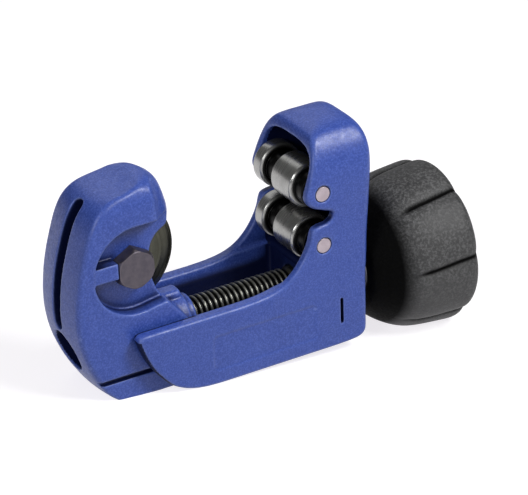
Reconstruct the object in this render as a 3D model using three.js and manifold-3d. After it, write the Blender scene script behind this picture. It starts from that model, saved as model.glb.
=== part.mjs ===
// Screw-feed pipe cutter: a cast frame with two rollers, a sliding cast jaw that
// carries the cutting wheel, and a feed spindle turned by a plastic knob.
// Millimetres. +X runs along the spindle towards the knob, +Z is up, -Y is the near side.
// X = 0 is the plane of the roller pins, Y = 0 the middle plane, Z = 0 the frame's base.
import * as THREE from 'three';
import { mergeVertices } from 'three/addons/utils/BufferGeometryUtils.js';
import Module from 'manifold-3d';

const wasm = await Module();
wasm.setup();

// ---------------------------------------------------------------- shared dimensions
const FIT = 0.12;                   // clearance round the pins, the key and the axle

const FRAME_HALF_WIDTH = 13.7;      // outside of the two side walls

const PIN_R = 2.0;
const UPPER_PIN_Z = 43.7;
const LOWER_PIN_Z = 29.4;

const SPINDLE_Z = 14.1;
const SPINDLE_R = 4.0;              // also the outside of the thread, Tr8 x 1.5
const KEY_X = [4.5, 5.2];

const BOSS_X = 13.8;                // end face of the frame's thrust boss

const GUIDE_Z = [7.05, 7.85];       // rails on the frame walls

const WHEEL_X = -50.5;
const WHEEL_Z = 35.8;
const AXLE_R = 3.0;                 // M6

const DRIVE_SQUARE_HALF = 2.8;      // the spindle's square end
const HUB_HEX = 13;                 // knob hub, across flats

// ---------------------------------------------------------------- finishes
const CAST_BLUE = { color: 0x3a4fa8, roughness: 0.45, metalness: 0.25 };
const SPINDLE_BLACK = { color: 0x26272a, roughness: 0.35, metalness: 0.85 };
const RING_BLACK = { color: 0x26272a, roughness: 0.4, metalness: 0.8 };
const ROLLER_BLACK = { color: 0x26272a, roughness: 0.25, metalness: 0.9 };
const DULL_STEEL = { color: 0x8d8f94, roughness: 0.4, metalness: 0.8 };
const BRIGHT_STEEL = { color: 0x8d8f94, roughness: 0.35, metalness: 0.85 };
const PIN_STEEL = { color: 0xb9a9b4, roughness: 0.35, metalness: 0.8 };
const KNOB_PLASTIC = { color: 0x2e2e30, roughness: 0.75, metalness: 0.0 };
const CAP_PLASTIC = { color: 0x2e2e30, roughness: 0.6, metalness: 0.0 };
const WHEEL_STEEL = { color: 0x55564e, roughness: 0.35, metalness: 0.9 };
const BRONZE = { color: 0xa08050, roughness: 0.4, metalness: 0.8 };
const BOLT_STEEL = { color: 0x6f6470, roughness: 0.45, metalness: 0.7 };

// ---------------------------------------------------------------- helpers
// Ranges are [from, to] pairs.
const span = (half, centre = 0) => [centre - half, centre + half];
const widened = ([from, to], margin) => [from - margin, to + margin];
// range of distances from the middle plane, on the side +1 or -1
const onSide = (side, [inner, outer]) => (side > 0 ? [inner, outer] : [-outer, -inner]);

// closed manifold with its triangles facing outwards
function solid(geometry) {
  geometry.deleteAttribute('normal');
  geometry.deleteAttribute('uv');
  const merged = mergeVertices(geometry, 1e-4);
  const position = merged.attributes.position;
  const corner = (i) => new THREE.Vector3().fromBufferAttribute(position, i);
  const triangles = [];
  let volume = 0;
  for (let i = 0; i < merged.index.count; i += 3) {
    const [a, b, c] = [0, 1, 2].map((k) => merged.index.getX(i + k));
    if (a === b || b === c || c === a) continue;
    triangles.push(a, b, c);
    volume += corner(a).dot(corner(b).cross(corner(c)));
  }
  if (volume < 0) {
    for (let i = 0; i < triangles.length; i += 3) {
      [triangles[i + 1], triangles[i + 2]] = [triangles[i + 2], triangles[i + 1]];
    }
  }
  return new wasm.Manifold(new wasm.Mesh({
    numProp: 3,
    vertProperties: Float32Array.from(position.array),
    triVerts: Uint32Array.from(triangles),
  }));
}

function extruded(outline, depth) {
  const shape = new THREE.Shape(outline.map(([u, v]) => new THREE.Vector2(u, v)));
  return new THREE.ExtrudeGeometry(shape, { depth, bevelEnabled: false });
}

// outline in (y, z)
function alongX(outline, [from, to]) {
  const geometry = extruded(outline, to - from);
  geometry.applyMatrix4(new THREE.Matrix4().makeBasis(
    new THREE.Vector3(0, 1, 0), new THREE.Vector3(0, 0, 1), new THREE.Vector3(1, 0, 0)));
  geometry.translate(from, 0, 0);
  return solid(geometry);
}

// outline in (x, z)
function alongY(outline, [from, to]) {
  const geometry = extruded(outline, to - from);
  geometry.rotateX(Math.PI / 2);
  geometry.translate(0, to, 0);
  return solid(geometry);
}

// outline in (x, y)
function alongZ(outline, [from, to]) {
  const geometry = extruded(outline, to - from);
  geometry.translate(0, 0, from);
  return solid(geometry);
}

function block([x0, x1], [y0, y1], [z0, z1]) {
  const geometry = new THREE.BoxGeometry(x1 - x0, y1 - y0, z1 - z0);
  geometry.translate((x0 + x1) / 2, (y0 + y1) / 2, (z0 + z1) / 2);
  return solid(geometry);
}

const lathed = (profile, segments) => new THREE.LatheGeometry(
  profile.map(([along, radius]) => new THREE.Vector2(radius, along)), segments);

// profile of (x, radius) turned about the spindle axis
function turnX(profile, segments = 24) {
  const geometry = lathed(profile, segments);
  geometry.rotateZ(-Math.PI / 2);
  geometry.translate(0, 0, SPINDLE_Z);
  return solid(geometry);
}

// profile of (y, radius) turned about a cross axis through (x, z)
function turnY(profile, x, z, segments = 24) {
  const geometry = lathed(profile, segments);
  geometry.translate(x, 0, z);
  return solid(geometry);
}
const onAxle = (profile, segments) => turnY(profile, WHEEL_X, WHEEL_Z, segments);

const rodProfile = ([from, to], radius) => [[from, 0], [from, radius], [to, radius], [to, 0]];
const ringProfile = ([from, to], [inner, outer]) => [
  [from, inner], [from, outer], [to, outer], [to, inner], [from, inner],
];
const rodX = (range, radius, segments) => turnX(rodProfile(range, radius), segments);
const rodY = (x, z, range, radius, segments) => turnY(rodProfile(range, radius), x, z, segments);

// half outline followed by its mirror image; `across` is the column that changes sign
function mirrored(half, across = 0) {
  const flip = (point) => point.map((value, i) => (i === across ? -value : value));
  return [...half, ...half.filter((point) => point[across] !== 0).reverse().map(flip)];
}

function hexagon(acrossFlats, centreU, centreV, firstCorner = 0) {
  const radius = acrossFlats / 2 / Math.cos(Math.PI / 6);
  return Array.from({ length: 6 }, (_, i) => {
    const angle = firstCorner + (Math.PI * i) / 3;
    return [centreU + radius * Math.cos(angle), centreV + radius * Math.sin(angle)];
  });
}

const cutAll = (body, ...tools) => tools.reduce((rest, cutter) => rest.subtract(cutter), body);
const addAll = (body, ...extras) => extras.reduce((whole, extra) => whole.add(extra), body);

const pipeCutter = new THREE.Group();
function part(name, body, finish) {
  const built = body.getMesh();
  const geometry = new THREE.BufferGeometry();
  const positions = Float32Array.from(built.vertProperties);
  geometry.setAttribute('position', new THREE.BufferAttribute(positions, 3));
  geometry.setIndex(new THREE.BufferAttribute(Uint32Array.from(built.triVerts), 1));
  geometry.computeVertexNormals();
  const mesh = new THREE.Mesh(geometry, new THREE.MeshStandardMaterial(finish));
  mesh.name = name;
  pipeCutter.add(mesh);
}

// ---------------------------------------------------------------- frame
const CHANNEL_HALF = 10.1;          // inside of the channel the jaw slides in
const HOOD_INNER_HALF = 11.2;       // inside of the roller hood
const HOOD_FLOOR_Z = 20.6;
const RIM_Z = 19.4;                 // top of the side walls
const BLOCK_X = -2;                 // -X face of the spindle block
const BLOCK_TOP = 21.5;
const BASE_EDGE = 1.4;              // bottom edge rounding
const BOSS_R = 10;
const BOSS_CHAMFER = 0.6;
const SPINDLE_BORE_R = 4.22;
const KEY_SLOT_Z = [5.1, 13.6];
const PANEL_DEPTH = 0.25;
const RAIL_Y = [9.0, CHANNEL_HALF + 0.6]; // tip, and root sunk into the wall

// side outline, (x, z)
const FRAME_SIDE = [
  [-37.5, 0.5], [-33, 0], [8, 0], [10.2, 0.7], [11.5, 2.0], [12, 4],
  [12, 17], [12.6, 20.2], [13.7, 23.8], [14.8, 32], [15.6, 38.8], [15.9, 45.4], [15.6, 51.4],
  [14.5, 55.2], [12.7, 58.3], [10.9, 59.5], [8.6, 60.0], [3.6, 60.0], [2.0, 59.8], [0.9, 59.0],
  [-0.9, 56.2], [-1.6, 53.6], [-2.2, 51.2], [-3.0, 48.8], [-3.8, 46.4], [-4.6, 44],
  [-4.9, 42.3], [-4.4, 41.0], [-3.3, 40.0], [-1.8, 39.3], [0.8, 38.7], [2.2, 38.2],
  [2.9, 37.3], [2.6, 36.3], [1.6, 35.4],
  [0.3, 35.1], [-1.5, 35.0], [-2.8, 34.5], [-3.5, 33.1], [-3.9, 31.0], [-4.9, 28.9],
  [-6.6, 25.8], [-8.8, 23.4], [-11.7, 21.3], [-15.1, 20.2], [-19, 19.7], [-24.1, RIM_Z],
  [-51.9, RIM_Z], [-53, 19.0], [-53.2, 17.9], [-52.3, 15.6], [-51.0, 12.4], [-49.7, 9.8],
  [-47.4, 6.6], [-44.5, 3.4], [-41.2, 1.4],
];
// cross section, (y, z)
const FRAME_SECTION = mirrored([
  [FRAME_HALF_WIDTH - BASE_EDGE, 0],
  [FRAME_HALF_WIDTH - BASE_EDGE * 0.3, BASE_EDGE * 0.3],
  [FRAME_HALF_WIDTH, BASE_EDGE],
  [FRAME_HALF_WIDTH, 42], [13.5, 46.5], [12.9, 50], [11.7, 53.2], [9.9, 55.8],
  [7.4, 58.0], [4.2, 59.5], [1.4, 60.0],
]);
// plan, (x, y): rounds the corners at the +X end
const FRAME_PLAN = mirrored([
  [-60, -15], [12.6, -15], [12.6, -FRAME_HALF_WIDTH], [14.2, -13.1], [15.5, -11.9], [16.2, -9.8],
], 1);
// hollow of the roller hood: side (x, z) and section (y, z)
const HOOD_SIDE = [
  [-14, BLOCK_TOP], [7.6, BLOCK_TOP], [8.6, 23.2], [10.4, 32], [11.4, 40], [11.8, 46],
  [11.4, 50], [10.0, 53.4], [8.0, 54.9], [-14, 54.9],
];
const HOOD_SECTION = mirrored([
  [HOOD_INNER_HALF, HOOD_FLOOR_Z], [HOOD_INNER_HALF, 47.0], [11.15, 49.2], [10.7, 51.0],
  [9.4, 53.0], [7.2, 54.4], [4.2, 55.1], [1.2, 55.3],
]);

function makeFrame() {
  const hoodInside = alongY(HOOD_SIDE, span(HOOD_INNER_HALF))
    .intersect(alongX(HOOD_SECTION, [-14, 13]));
  const pinHole = (z) => rodY(0, z, span(16), PIN_R + FIT);
  const casting = alongY(FRAME_SIDE, span(FRAME_HALF_WIDTH))
    .intersect(alongX(FRAME_SECTION, [-60, 20]))
    .intersect(alongZ(FRAME_PLAN, [-1, 62]));
  const thrustBoss = turnX([
    [6, 0], [6, BOSS_R], [BOSS_X - BOSS_CHAMFER, BOSS_R], [BOSS_X, BOSS_R - BOSS_CHAMFER],
    [BOSS_X, 0],
  ], 36);
  let frame = cutAll(casting.add(thrustBoss),
    hoodInside,
    block([-60, BLOCK_X], span(CHANNEL_HALF), [-2, 21.2]), // channel, open underneath
    block([-60, -5.2], span(HOOD_INNER_HALF), [HOOD_FLOOR_Z, 40]),
    rodX([-4, 18], SPINDLE_BORE_R),
    pinHole(UPPER_PIN_Z),
    pinHole(LOWER_PIN_Z),
    block(widened(KEY_X, FIT), [-16, 9.4], KEY_SLOT_Z));
  // shallow blank panel on each side, and the rails the jaw's grooves run on
  for (const side of [-1, 1]) {
    const panelY = [FRAME_HALF_WIDTH - PANEL_DEPTH, FRAME_HALF_WIDTH + 1];
    frame = frame
      .subtract(block([-32.5, -3], onSide(side, panelY), [3.9, 13.3]))
      .add(block([-46, BLOCK_X - 0.8], onSide(side, RAIL_Y), GUIDE_Z));
  }
  return frame;
}
part('frame', makeFrame(), CAST_BLUE);

// ---------------------------------------------------------------- jaw
const JAW_HALF = 9.9;
const JAW_BOTTOM = 0.85;
const JAW_EDGE = 0.9;               // bottom edge chamfer
const JAW_BORE_R = 4.3;
const RING_RECESS_R = 5.45;         // wider bore round the stop ring
const SLOT_HALF = 1.85;             // wheel slot
const SLOT_R = 16.0;
const POCKET_R = 11.7;              // bolt pockets in the cheeks
const POCKET_Y = [5.9, 12];         // pocket floor, and a depth outside the jaw
const GUIDE_CLEARANCE = 0.2;        // between a rail and its groove, above and below
const PAST_JAW_X = [-74, -28];      // runs clear of both ends
const PAST_JAW_HALF = 11;           // runs clear of both sides

// side outline, (x, z)
const JAW_SIDE = [
  [-57.6, JAW_BOTTOM], [-35.6, JAW_BOTTOM], [-35.6, 16.4], [-38.4, 20.2], [-42.5, 25.3],
  [-43.6, 27.0], [-44.6, 29.6], [-45.2, 33], [-45.2, 37], [-44.6, 40], [-43.2, 42.2],
  [-40.8, 43.4], [-38.6, 44.4], [-38.1, 45.6], [-38.1, 47.6], [-38.6, 50.2], [-39.7, 53.6],
  [-41.2, 56.6], [-42.9, 58.9], [-44.6, 59.8], [-46.5, 59.7], [-50, 58.9], [-54, 57.9],
  [-58, 57.1], [-60.5, 55.9], [-62.4, 53.6], [-63.9, 50.4], [-65.5, 46.3], [-67.2, 41.4],
  [-68.4, 36.6], [-69.1, 32.4], [-69.4, 26], [-69.4, 22.6], [-68.9, 18.4], [-67.6, 13.8],
  [-65.3, 8.8], [-61.6, 3.8],
];
// cross section, (y, z)
const JAW_SECTION = mirrored([
  [JAW_HALF - JAW_EDGE, JAW_BOTTOM], [JAW_HALF, JAW_BOTTOM + JAW_EDGE], [JAW_HALF, 48.5],
  [9.7, 51.2], [9.1, 53.8], [7.8, 56.3], [5.8, 58.3], [3.2, 59.5], [1.0, 59.8],
]);
// plan, (x, y): rounds both ends
const JAW_PLAN = mirrored([
  [-69.4, -3], [-69.2, -5.5], [-68.6, -7.8], [-67.7, -9.2], [-66.4, -JAW_HALF],
  [-66.4, -PAST_JAW_HALF], [-46, -PAST_JAW_HALF], [-46, -JAW_HALF], [-43.4, -9.3],
  [-41.2, -7.9], [-39.4, -5.5], [-38.3, -2.6], [-38.1, 0],
], 1);
// wheel slot beyond its round part, (x, z)
const SLOT_SIDE = [
  [-74, 20.8], [-58, 20.8], [-45, 21.0], [-38.6, 24.5], [-30, 24.5], [-30, 43.9],
  [-37.8, 43.9], [-44, 50], [-56, 51], [-60.6, 54.6], [-74, 54.6],
];

// (x, z): half circle round the axle on the -X side, open towards +X
function pocketOutline() {
  const outline = [];
  for (let i = 0; i <= 24; i++) {
    const angle = Math.PI / 2 + (Math.PI * i) / 24;
    outline.push([
      WHEEL_X + POCKET_R * Math.cos(angle),
      WHEEL_Z + POCKET_R * Math.sin(angle),
    ]);
  }
  return [...outline, [-47.5, 24.9], [-43, 25.3], [-36, 25.4], [-36, 47.5]];
}

function makeJaw() {
  // the plan's rounding of the +X end is kept off the lower body and the cheeks
  const planLimit = addAll(alongZ(JAW_PLAN, [0, 62]),
    block([-56, -30], span(PAST_JAW_HALF), [0, 24.5]),
    block([-56, -41], span(PAST_JAW_HALF), [0, 44]));
  let jaw = alongY(JAW_SIDE, span(JAW_HALF))
    .intersect(alongX(JAW_SECTION, PAST_JAW_X))
    .intersect(planLimit);
  // stepped boss round the bore at the +X end, and the rib above it
  jaw = addAll(jaw,
    turnX([[-42, 0], [-42, 7], [-34.9, 7], [-34.4, 6.5], [-34.4, 0]]),
    turnX([[-42, 0], [-42, 5.5], [-32.8, 5.5], [-32.3, 5.0], [-32.3, 0]], 20),
    block([-42, -35], span(2.5), [10, 22.5]));
  // the near pocket keeps a lug against the bolt head
  const lug = block([-63, -55.8], [-9.6, -5], [34.7, 39.0]);
  jaw = cutAll(jaw,
    alongY(pocketOutline(), onSide(-1, POCKET_Y)).subtract(lug),
    alongY(pocketOutline(), onSide(1, POCKET_Y)),
    rodY(WHEEL_X, WHEEL_Z, span(SLOT_HALF), SLOT_R, 40),
    alongY(SLOT_SIDE, span(SLOT_HALF)),
    rodY(WHEEL_X, WHEEL_Z, span(12), AXLE_R + FIT),
    rodX(PAST_JAW_X, JAW_BORE_R, 28),
    rodX([-74, -58], RING_RECESS_R, 28));
  for (const side of [-1, 1]) {
    jaw = jaw.subtract(
      block(PAST_JAW_X, onSide(side, [8.5, 12]), widened(GUIDE_Z, GUIDE_CLEARANCE)));
  }
  return jaw;
}
part('jaw', makeJaw(), CAST_BLUE);

// ---------------------------------------------------------------- spindle
const THREAD_X = [-59.4, -3.4];
const THREAD_ROOT_R = 3.15;
const PITCH = 1.5;
const THREAD_COLUMNS = 12;          // facets round the rod
// one turn of thread: [offset along x, radius] of each row
const THREAD_ROWS = [[0, SPINDLE_R], [0.45, SPINDLE_R], [0.98, THREAD_ROOT_R]];
const KEY_GROOVE_R = 2.9;
const SCREW_HOLE_R = 1.75;

// a row meets itself one pitch on, so the surface is a true right-hand helix
function threadedRod([x0, x1]) {
  const rowsPerTurn = THREAD_ROWS.length;
  const turns = Math.ceil((x1 - x0) / PITCH) + 3;
  const rows = turns * rowsPerTurn;
  const start = x0 - 2 * PITCH;
  const corners = [];
  const at = (row, column) => {
    if (column === THREAD_COLUMNS) return at(row + rowsPerTurn, 0);
    const angle = (2 * Math.PI * column) / THREAD_COLUMNS;
    const [offset, radius] = THREAD_ROWS[row % rowsPerTurn];
    const turn = Math.floor(row / rowsPerTurn) + column / THREAD_COLUMNS;
    return [
      start + PITCH * turn + offset,
      radius * Math.cos(angle),
      SPINDLE_Z + radius * Math.sin(angle),
    ];
  };
  for (let j = 0; j < rows; j++) {
    for (let k = 0; k < THREAD_COLUMNS; k++) {
      const [a, b, c, d] = [at(j, k), at(j, k + 1), at(j + 1, k + 1), at(j + 1, k)];
      corners.push(a, b, c, a, c, d);
    }
  }
  // fan over one turn of a row and the step back to its start
  const cap = (row, x, flip) => {
    const centre = [x, 0, SPINDLE_Z];
    const loop = [];
    for (let k = 0; k < THREAD_COLUMNS; k++) loop.push(at(row, k));
    for (let i = rowsPerTurn; i > 0; i--) loop.push(at(row + i, 0));
    loop.forEach((a, i) => {
      const b = loop[(i + 1) % loop.length];
      corners.push(centre, ...(flip ? [a, b] : [b, a]));
    });
  };
  cap(0, start - 1, false);
  cap(rows, start + PITCH * (turns + 1), true);
  const geometry = new THREE.BufferGeometry();
  geometry.setAttribute('position', new THREE.Float32BufferAttribute(corners.flat(), 3));
  return solid(geometry).intersect(rodX([x0, x1], SPINDLE_R + 1, 12));
}

function makeSpindle() {
  const threadEnd = THREAD_X[1];
  const [grooveFrom, grooveTo] = widened(KEY_X, 0.2);
  return addAll(threadedRod(THREAD_X),
    // free end with the stop ring's groove
    turnX([
      [-62.6, 0], [-62.6, 3.3], [-62.0, 3.9], [-60.85, 3.9], [-60.85, 3.1],
      [-59.95, 3.1], [-59.95, 3.9], [-59.3, 3.9], [-59.3, 0],
    ]),
    // plain journal with the key's groove
    turnX([
      [threadEnd - 0.3, 0], [threadEnd - 0.3, THREAD_ROOT_R], [threadEnd + 0.6, SPINDLE_R],
      [grooveFrom, SPINDLE_R], [grooveFrom, KEY_GROOVE_R],
      [grooveTo, KEY_GROOVE_R], [grooveTo, SPINDLE_R], [16.0, SPINDLE_R], [16.0, 0],
    ]),
    block([15.5, 26.4], span(DRIVE_SQUARE_HALF), span(DRIVE_SQUARE_HALF, SPINDLE_Z)),
  ).subtract(rodX([16.6, 27], SCREW_HOLE_R, 16));
}
part('spindle', makeSpindle(), SPINDLE_BLACK);

// ring in the groove at the free end, split underneath
const stopRing = turnX(ringProfile([-60.8, -60.02], [3.25, 5.0]), 20)
  .subtract(block([-61, -59.5], span(0.9), [SPINDLE_Z - 8, SPINDLE_Z]));
part('spindle_stop_ring', stopRing, RING_BLACK);

// flat key pushed in from the near side under the spindle, seated in its groove; (y, z)
const KEY_OUTLINE = [
  [-11.6, 5.3], [9.1, 5.3], [9.1, 10.9], [-3.2, 10.9], [-3.2, 13.4], [-11.6, 13.4],
];
part('retaining_key', alongX(KEY_OUTLINE, KEY_X), DULL_STEEL);

part('thrust_washer', turnX(ringProfile([13.9, 14.9], [4.25, 9.2]), 20), BRIGHT_STEEL);

// ---------------------------------------------------------------- knob
const HUB_SOCKET_HALF = DRIVE_SQUARE_HALF + 0.15;
const HUB_HEX_CLEARANCE = 0.2;      // per side, in the knob
const KNOB_LOBES = 7;
const COLUMNS_PER_LOBE = 9;
const KNOB_GROOVE_DEG = 7;          // first groove, from -Y towards +Z
const GROOVE_DEPTH = 1.15;          // sharp groove between lobes
const LOBE_DEPTH = 0.75;            // soft fall of a lobe towards its grooves
const LOBE_FADE_X = [21, 30];       // grooves and lobes grow in over this stretch
const SCREW_R = 1.6;

// (x, radius) before the lobes are shaped
const KNOB_PROFILE = [
  [15.05, 0], [15.05, 12.0], [16.4, 13.1], [18.0, 14.5], [19.6, 15.9], [22.6, 18.2],
  [24.8, 19.5], [27.1, 20.4], [31.8, 20.85], [37.2, 21.2], [40.6, 21.3], [42.2, 20.9],
  [43.1, 20.0], [43.5, 18.4], [43.5, 0],
];

function makeHub() {
  return turnX([[15.15, 0], [15.15, 8.6], [15.45, 8.9], [17.1, 8.9], [17.1, 0]], 20)
    .add(alongX(hexagon(HUB_HEX, 0, SPINDLE_Z), [17.0, 26.8]))
    .subtract(block([15, 28], span(HUB_SOCKET_HALF), span(HUB_SOCKET_HALF, SPINDLE_Z)))
    .subtract(rodX([15, 16.4], 4.3)); // room for the round of the spindle
}
part('knob_hub', makeHub(), DULL_STEEL);

function lobedKnob() {
  const columns = KNOB_LOBES * COLUMNS_PER_LOBE;
  const firstGroove = THREE.MathUtils.degToRad(180 - KNOB_GROOVE_DEG);
  const geometry = lathed(KNOB_PROFILE, columns);
  geometry.rotateZ(-Math.PI / 2);
  const position = geometry.attributes.position;
  for (let i = 0; i < position.count; i++) {
    const x = position.getX(i);
    const radius = Math.hypot(position.getY(i), position.getZ(i));
    if (radius < 10) continue; // points on the axis
    // columns are counted from a groove, so each groove falls on a column
    const column = Math.floor(i / KNOB_PROFILE.length) % columns;
    const lobe = (column % COLUMNS_PER_LOBE) / COLUMNS_PER_LOBE;
    const edge = Math.min(lobe, 1 - lobe);
    const groove = edge === 0 ? GROOVE_DEPTH : 0;
    const fade = THREE.MathUtils.smoothstep(x, ...LOBE_FADE_X);
    const lowered = radius - fade * (groove + LOBE_DEPTH * Math.pow(1 - 2 * edge, 3));
    const angle = firstGroove + (2 * Math.PI * column) / columns;
    position.setXYZ(i, x, lowered * Math.cos(angle), lowered * Math.sin(angle));
  }
  geometry.translate(0, 0, SPINDLE_Z);
  return solid(geometry);
}

const knob = cutAll(lobedKnob(),
  rodX([15, 17.35], 9.15, 20), // hub flange
  alongX(hexagon(HUB_HEX + 2 * HUB_HEX_CLEARANCE, 0, SPINDLE_Z), [15, 27.1]),
  rodX([27, 33], 2.3, 20),     // screw shank
  rodX([32.5, 48], 7.0),       // washer, screw head and cap plug
  rodX([40.8, 48], 8.4));      // cap rim
part('knob', knob, KNOB_PLASTIC);
part('knob_washer', turnX(ringProfile([32.58, 33.38], [2.3, 5.8])), BRIGHT_STEEL);

function makeKnobScrew() {
  const recessX = [35.1, 38];
  const [armHalfWidth, armHalfLength] = [0.55, 2.4];
  return cutAll(
    turnX([
      [18.0, 0], [18.0, 1.2], [18.5, SCREW_R], [33.45, SCREW_R], [33.45, 3.8],
      [35.7, 3.6], [36.4, 2.6], [36.4, 0],
    ], 20),
    block(recessX, span(armHalfWidth), span(armHalfLength, SPINDLE_Z)),
    block(recessX, span(armHalfLength), span(armHalfWidth, SPINDLE_Z)));
}
part('knob_screw', makeKnobScrew(), BRIGHT_STEEL);

const endCap = turnX([
  [38.8, 0], [38.8, 6.5], [40.9, 6.7], [40.9, 8.2], [42.8, 8.2], [43.3, 7.5],
  [43.5, 5.0], [43.55, 0],
]);
part('knob_end_cap', endCap, CAP_PLASTIC);

// ---------------------------------------------------------------- rollers and pins
const PIN_HALF = 13.55;
const PIN_CHAMFER = 0.15;
const ROLLER_R = 6.0;
const ROLLER_BORE_R = 2.2;
const ROLLER_HALF = 10.95;
const ROLLER_CHAMFER = 0.45;
const NECK_END = -7.45;             // reduced neck at the near end
const NECK_R = 4.6;
const NECK_CHAMFER = 0.3;
const GROOVE_Y = [1.9, 6.6];        // groove beside the main land
const GROOVE_R = 4.3;

function makeRoller(z) {
  const shoulderR = ROLLER_R - ROLLER_CHAMFER;
  const [grooveFrom, grooveTo] = GROOVE_Y;
  return turnY([
    [-ROLLER_HALF, ROLLER_BORE_R], [-ROLLER_HALF, NECK_R - NECK_CHAMFER],
    [-ROLLER_HALF + NECK_CHAMFER, NECK_R], [NECK_END, NECK_R],
    [NECK_END, shoulderR], [NECK_END + ROLLER_CHAMFER, ROLLER_R],
    [grooveFrom - ROLLER_CHAMFER, ROLLER_R], [grooveFrom, shoulderR],
    [grooveFrom, GROOVE_R], [grooveTo, GROOVE_R],
    [grooveTo, shoulderR], [grooveTo + ROLLER_CHAMFER, ROLLER_R],
    [ROLLER_HALF - 0.8, ROLLER_R], [ROLLER_HALF, 5.2],
    [ROLLER_HALF, ROLLER_BORE_R], [-ROLLER_HALF, ROLLER_BORE_R],
  ], 0, z, 20);
}

const makePin = (z) => turnY([
  [-PIN_HALF, 0], [-PIN_HALF, PIN_R - PIN_CHAMFER], [-PIN_HALF + PIN_CHAMFER, PIN_R],
  [PIN_HALF - PIN_CHAMFER, PIN_R], [PIN_HALF, PIN_R - PIN_CHAMFER], [PIN_HALF, 0],
], 0, z);

part('upper_roller', makeRoller(UPPER_PIN_Z), ROLLER_BLACK);
part('lower_roller', makeRoller(LOWER_PIN_Z), ROLLER_BLACK);
part('upper_roller_pin', makePin(UPPER_PIN_Z), PIN_STEEL);
part('lower_roller_pin', makePin(LOWER_PIN_Z), PIN_STEEL);

// ---------------------------------------------------------------- cutting wheel on its axle
const WHEEL_R = 14.8;
const WHEEL_HALF = 1.5;
const WHEEL_BORE_R = 3.75;
const BOLT_HEX = 9.6;               // head and nut, across flats
const HEAD_Y = -9.65;               // outer face of the bolt head
const SHANK_R = AXLE_R - 0.02;

const wheel = onAxle([
  [-WHEEL_HALF, WHEEL_BORE_R], [-WHEEL_HALF, 11.4], [-0.75, 13.2], [-0.08, WHEEL_R],
  [0.08, WHEEL_R], [0.75, 13.2], [WHEEL_HALF, 11.4], [WHEEL_HALF, WHEEL_BORE_R],
  [-WHEEL_HALF, WHEEL_BORE_R],
], 40);
part('cutter_wheel', wheel, WHEEL_STEEL);
part('wheel_bush', onAxle(ringProfile(span(1.75), [3.15, 3.5]), 20), BRONZE);
for (const [name, side] of [['wheel_shim_near', -1], ['wheel_shim_far', 1]]) {
  part(name, onAxle(ringProfile(onSide(side, [1.57, 1.79]), [3.65, 6.5]), 20), BRIGHT_STEEL);
}

const boltHex = (range) => alongY(hexagon(BOLT_HEX, WHEEL_X, WHEEL_Z, Math.PI / 6), range);

// the hexagons are cut back to turned profiles that chamfer their corners
const bolt = boltHex([HEAD_Y, -6.0])
  .intersect(onAxle([[HEAD_Y, 0], [HEAD_Y, 4.85], [HEAD_Y + 0.75, 5.9], [-5.5, 5.9], [-5.5, 0]]))
  .add(onAxle([
    [-6.1, 0], [-6.1, SHANK_R], [10.4, SHANK_R], [10.9, AXLE_R - 0.5], [10.9, 0],
  ]));
part('axle_bolt', bolt, BOLT_STEEL);

const nut = boltHex([7.2, 10.35])
  .intersect(onAxle([[7.1, 0], [7.1, 5.1], [7.75, 5.9], [9.8, 5.9], [10.4, 5.1], [10.4, 0]]))
  .subtract(rodY(WHEEL_X, WHEEL_Z, [6, 12], AXLE_R + FIT));
part('axle_nut', nut, BOLT_STEEL);

// split on its upper side
const springWasher = onAxle(ringProfile([5.97, 7.1], [3.2, 5.3]), 20)
  .subtract(block(span(0.6, WHEEL_X), [5, 8], [WHEEL_Z, WHEEL_Z + 8]));
part('axle_spring_washer', springWasher, BRIGHT_STEEL);

export default pipeCutter;
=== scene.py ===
"""A small tube cutter with a blue frame, a sliding jaw, a cutting wheel and a black knob.

Lengths are in millimetres until a mesh is made. The feed spindle runs along x, with the knob at
+x and the jaw at -x. y is across the tool, which is nearly symmetric in it, and z is up: the
rollers and the wheel stand above the spindle, and their axles run along y.
"""
import math

import bpy
import numpy as np
from mathutils import Matrix, Vector


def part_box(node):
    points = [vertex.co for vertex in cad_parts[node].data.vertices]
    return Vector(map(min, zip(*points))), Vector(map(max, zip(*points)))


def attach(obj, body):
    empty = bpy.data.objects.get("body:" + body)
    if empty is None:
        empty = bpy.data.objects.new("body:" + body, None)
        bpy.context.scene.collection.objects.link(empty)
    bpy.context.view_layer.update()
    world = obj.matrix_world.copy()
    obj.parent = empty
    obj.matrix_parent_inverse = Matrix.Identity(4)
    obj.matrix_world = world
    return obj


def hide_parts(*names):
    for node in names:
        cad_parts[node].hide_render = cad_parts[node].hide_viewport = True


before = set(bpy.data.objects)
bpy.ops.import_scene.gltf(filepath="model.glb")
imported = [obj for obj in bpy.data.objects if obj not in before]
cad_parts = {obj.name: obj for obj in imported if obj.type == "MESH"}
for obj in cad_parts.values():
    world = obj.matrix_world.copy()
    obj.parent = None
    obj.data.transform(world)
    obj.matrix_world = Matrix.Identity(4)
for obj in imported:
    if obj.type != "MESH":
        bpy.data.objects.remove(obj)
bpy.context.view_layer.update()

MM = 0.001
F32 = np.float32
X, Y, Z = 0, 1, 2


# ------------------------------------------------------------------ places read from the frame
def low(node, axis):
    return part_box(node)[0][axis] / MM


def high(node, axis):
    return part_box(node)[1][axis] / MM


def mid(node, axis):
    lo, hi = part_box(node)
    return (lo[axis] + hi[axis]) / 2 / MM


PIN_X = mid("upper_roller_pin", X)
PIN_HALF = high("upper_roller_pin", Y)
ROLLER_Z = {"upper": mid("upper_roller_pin", Z), "lower": mid("lower_roller_pin", Z)}
SPINDLE_Z = mid("thrust_washer", Z)
WHEEL_X, WHEEL_Z = mid("cutter_wheel", X), mid("cutter_wheel", Z)
WHEEL_R = (high("cutter_wheel", Z) - low("cutter_wheel", Z)) / 2
KNOB_START = low("knob", X)

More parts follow.
